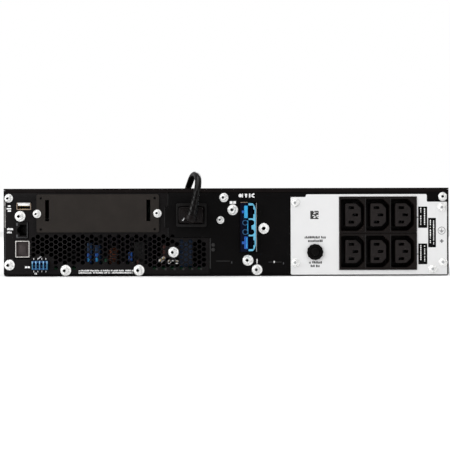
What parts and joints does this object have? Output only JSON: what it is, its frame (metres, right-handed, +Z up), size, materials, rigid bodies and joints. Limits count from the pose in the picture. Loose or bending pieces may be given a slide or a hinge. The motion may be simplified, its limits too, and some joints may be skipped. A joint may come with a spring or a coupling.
{
  "type": "rackmount uninterruptible power supply",
  "caption": "Low rack-height power backup unit with keyed outlets, vented rear panel, pull-out battery module, front bezel with display, rack ears and a mains lead.",
  "frame": {"origin": "centre of the chassis's bottom face, on the surface it rests on", "axes": "-Y is the connector side, +Y the bezel side, +X right as seen from the connector side, +Z up"},
  "size_m": [0.4826, 0.6211, 0.1037],
  "materials": {
    "black_powder": "satin black powder coat",
    "cover_powder": "satin dark powder coat",
    "grey_plate": "matt dark grey paint",
    "pale_grey": "satin pale grey paint",
    "zinc": "bright zinc plate",
    "galvanised": "galvanised sheet",
    "aluminium": "extruded",
    "black_plastic": "moulded",
    "bezel_plastic": "fine-grained moulding",
    "blue_plastic": "moulded",
    "terminal_blue": "moulded",
    "capacitor_blue": "moulded",
    "copper": "enamelled copper",
    "board_green": "solder mask",
    "battery_grey": "moulded",
    "lens": "clear over a dark display",
    "cord_rubber": "matt"
  },
  "bodies": {
    "chassis": {"comms_panel": "black_powder", "power_panel": "black_powder", "front_frame": "black_powder", "base_tray": "black_powder", "rack_ear_left": "black_powder", "rack_ear_right": "black_powder", "top_cover": "cover_powder", "bay_divider": "galvanised", "outlet_panel": "pale_grey", "outlet_strip_upper": "black_plastic", "outlet_strip_lower": "black_plastic", "breaker_body": "black_plastic", "usb_port": "zinc", "network_port": "black_plastic", "serial_port": "zinc", "epo_socket": "black_plastic", "battery_connector": "blue_plastic", "power_inlet": "black_plastic", "ground_screw": "zinc", "main_board": "board_green", "output_board": "board_green", "heatsink": "aluminium", "filter_capacitor": "capacitor_blue", "output_choke": "copper", "capacitor_bank": "capacitor_blue", "battery_dock": "black_plastic", "fan_frame_left": "black_plastic", "fan_frame_right": "black_plastic", "power_plug": "cord_rubber", "power_cord": "cord_rubber", "cord_coil": "cord_rubber", "cord_end_plug": "cord_rubber", "panel_screw_1": "zinc", "panel_screw_2": "zinc", "panel_screw_3": "zinc", "panel_screw_4": "zinc", "panel_screw_5": "zinc", "panel_screw_6": "zinc", "panel_screw_7": "zinc", "panel_screw_8": "zinc", "panel_screw_9": "zinc"},
    "breaker_button": {"breaker_button": "black_plastic"},
    "epo_plug": {"epo_plug": "terminal_blue"},
    "card_cover": {"card_slot_cover": "grey_plate", "card_screw_left": "zinc", "card_screw_right": "zinc"},
    "fan_left": {"fan_rotor_left": "black_plastic"},
    "fan_right": {"fan_rotor_right": "black_plastic"},
    "battery": {"battery_tray": "galvanised", "battery_pack": "battery_grey", "battery_handle": "black_plastic"},
    "battery_cover": {"battery_cover": "bezel_plastic"},
    "bezel": {"front_bezel": "bezel_plastic", "display_housing": "black_plastic", "display_lens": "lens", "display_board": "board_green"},
    "button_power": {"button_power": "black_plastic"},
    "button_up": {"button_up": "black_plastic"},
    "button_down": {"button_down": "black_plastic"},
    "button_enter": {"button_enter": "black_plastic"}
  },
  "joints": [
    {"name": "breaker_trip", "type": "slide", "parent": "chassis", "child": "breaker_button", "axis": [0, -1, 0], "range_m": [0, 0.004]},
    {"name": "epo_unplug", "type": "slide", "parent": "chassis", "child": "epo_plug", "axis": [0, -1, 0], "range_m": [0, 0.02]},
    {"name": "card_cover_off", "type": "slide", "parent": "chassis", "child": "card_cover", "axis": [0, -1, 0], "range_m": [0, 0.03]},
    {"name": "fan_left_spin", "type": "hinge", "parent": "chassis", "child": "fan_left", "pos_m": [-0.165, 0.258, 0.0425], "axis": [0, 1, 0], "continuous": true},
    {"name": "fan_right_spin", "type": "hinge", "parent": "chassis", "child": "fan_right", "pos_m": [-0.078, 0.258, 0.0425], "axis": [0, 1, 0], "continuous": true},
    {"name": "battery_pull", "type": "slide", "parent": "chassis", "child": "battery", "axis": [0, 1, 0], "range_m": [0, 0.36]},
    {"name": "battery_cover_off", "type": "slide", "parent": "battery", "child": "battery_cover", "axis": [0, 1, 0], "range_m": [0, 0.06]},
    {"name": "bezel_off", "type": "slide", "parent": "chassis", "child": "bezel", "axis": [0, 1, 0], "range_m": [0, 0.06]},
    {"name": "press_power", "type": "slide", "parent": "bezel", "child": "button_power", "axis": [0, -1, 0], "range_m": [0, 0.001], "stiffness_N_per_m": 400},
    {"name": "press_up", "type": "slide", "parent": "bezel", "child": "button_up", "axis": [0, -1, 0], "range_m": [0, 0.001], "stiffness_N_per_m": 400},
    {"name": "press_down", "type": "slide", "parent": "bezel", "child": "button_down", "axis": [0, -1, 0], "range_m": [0, 0.001], "stiffness_N_per_m": 400},
    {"name": "press_enter", "type": "slide", "parent": "bezel", "child": "button_enter", "axis": [0, -1, 0], "range_m": [0, 0.001], "stiffness_N_per_m": 400}
  ]
}
